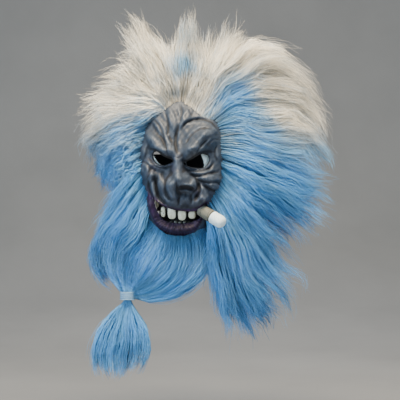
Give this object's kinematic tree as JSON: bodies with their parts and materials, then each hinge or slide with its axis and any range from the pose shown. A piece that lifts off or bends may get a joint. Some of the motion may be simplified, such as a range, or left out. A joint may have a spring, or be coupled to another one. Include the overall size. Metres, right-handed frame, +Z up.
{
  "type": "wall-hung latex mask",
  "caption": "Grey latex monster mask with a scowling face, wild white and blue hair, a tied beard and a cigar in its mouth, hanging from an eyelet.",
  "frame": {"origin": "middle of the hanging eyelet's bore, at the top of the mask's open back", "axes": "+Z up as the mask hangs, -Y the way the face looks, +Y along the eyelet towards the wall, +X to the face's left hand side as it is looked at from the front's right"},
  "size_m": [0.4275, 0.1323, 0.628],
  "materials": {
    "latex": "matt painted latex",
    "cap_cloth": "knitted cloth",
    "tape": "woven tape",
    "eye_white": "glossy",
    "gum": "satin",
    "tooth": "glossy, stained",
    "gauze": "fine black mesh",
    "leaf": "matt, veined",
    "ash": "matt, flaky",
    "peg_wood": "plain",
    "webbing": "woven webbing",
    "eyelet_brass": "satin",
    "elastic": "woven elastic",
    "rivet_steel": "brushed",
    "slider_plastic": "matt moulded",
    "weft_cloth": "stitched cloth band",
    "hair_white": "long crimped fibre",
    "hair_pale": "long crimped fibre",
    "hair_blue": "long crimped fibre",
    "tie_band": "matt elastic"
  },
  "bodies": {
    "mask": {"face_skin": "latex", "scalp_cap": "cap_cloth", "seam_tape": "tape", "left_eye_liner": "eye_white", "right_eye_liner": "eye_white", "gum_plate": "gum", "left_fang": "tooth", "cracked_tooth": "tooth", "left_front_tooth": "tooth", "right_front_tooth": "tooth", "right_side_tooth": "tooth", "corner_tooth": "tooth", "lower_teeth": "tooth", "mouth_gauze": "gauze", "hang_tab": "webbing", "hang_eyelet": "eyelet_brass", "head_strap": "elastic", "strap_rivets": "rivet_steel", "strap_washers": "rivet_steel", "crown_weft": "weft_cloth", "left_weft": "weft_cloth", "right_weft": "weft_cloth", "beard_weft": "weft_cloth", "crown_spike": "hair_white", "crown_left_lock": "hair_white", "crown_right_lock": "hair_white", "crown_right_spike": "hair_white", "left_mane_top": "hair_white", "left_mane_upper": "hair_white", "right_mane_upper": "hair_white", "left_mane_middle": "hair_pale", "left_mane_lower": "hair_pale", "right_mane_middle": "hair_pale", "right_mane_low": "hair_pale", "left_whiskers": "hair_blue", "left_outer_lock": "hair_blue", "right_wisp": "hair_blue", "right_side_lock": "hair_blue", "right_hanging_lock": "hair_blue", "right_lower_lock": "hair_blue", "right_inner_lock": "hair_blue"},
    "beard": {"beard_left": "hair_blue", "beard_middle": "hair_blue", "beard_right": "hair_blue", "beard_tie": "tie_band"},
    "tail": {"beard_tail": "hair_blue"},
    "cigar": {"cigar_leaf": "leaf", "cigar_ash": "ash", "cigar_peg": "peg_wood"},
    "slider": {"strap_slider": "slider_plastic"}
  },
  "joints": [
    {"name": "beard_swing", "type": "hinge", "parent": "mask", "child": "beard", "pos_m": [-0.04, -0.057, -0.284], "axis": [-1, 0, 0], "range_deg": [0, 25]},
    {"name": "tail_swing", "type": "hinge", "parent": "beard", "child": "tail", "pos_m": [-0.0875, -0.061, -0.363], "axis": [0, 1, 0], "range_deg": [-20, 20]},
    {"name": "cigar_pull", "type": "slide", "parent": "mask", "child": "cigar", "axis": [0.7304, -0.5273, -0.4342], "range_m": [0, 0.016]},
    {"name": "slider_slide", "type": "slide", "parent": "mask", "child": "slider", "axis": [1, 0, 0], "range_m": [-0.08, 0.018]}
  ]
}
